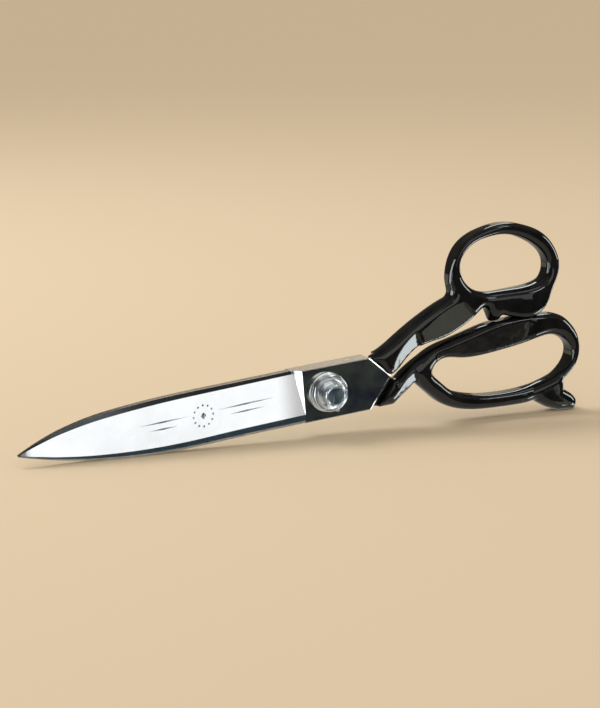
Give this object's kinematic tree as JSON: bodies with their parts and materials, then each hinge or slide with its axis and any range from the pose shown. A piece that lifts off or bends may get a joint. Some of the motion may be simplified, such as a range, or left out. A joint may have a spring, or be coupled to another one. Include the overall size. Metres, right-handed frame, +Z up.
{
  "type": "fabric shears",
  "caption": "Heavy bent-handled tailor's shears: two polished tapering blades on a nut-and-bolt pivot, black enamelled thumb ring and long finger bow, closed and standing on edge.",
  "frame": {"origin": "centre of the bounding box's bottom face, on the surface that the blades' belly and the tail stand on", "axes": "+X from the points of the blades to the finger bow, +Y through the pivot from the nut's side to the bolt head's side, +Z up, from the finger bow to the thumb ring"},
  "size_m": [0.3274, 0.0264, 0.1095],
  "materials": {
    "blade_steel": "mirror polished, fine grinding lines, darkened bevels",
    "pivot_steel": "turned and nickel plated",
    "black_enamel": "thick gloss black enamel on forged iron"
  },
  "bodies": {
    "finger_half": {"rear_blade": "blade_steel", "finger_handle": "black_enamel"},
    "thumb_half": {"front_blade": "blade_steel", "thumb_handle": "black_enamel", "pivot_bolt": "pivot_steel", "spring_washer": "pivot_steel", "pivot_nut": "pivot_steel", "keeper_pin": "pivot_steel"}
  },
  "joints": [
    {"name": "pivot", "type": "hinge", "parent": "finger_half", "child": "thumb_half", "pos_m": [0.0053, 0.00413, 0.025], "axis": [0, -1, 0], "range_deg": [0, 60]}
  ]
}
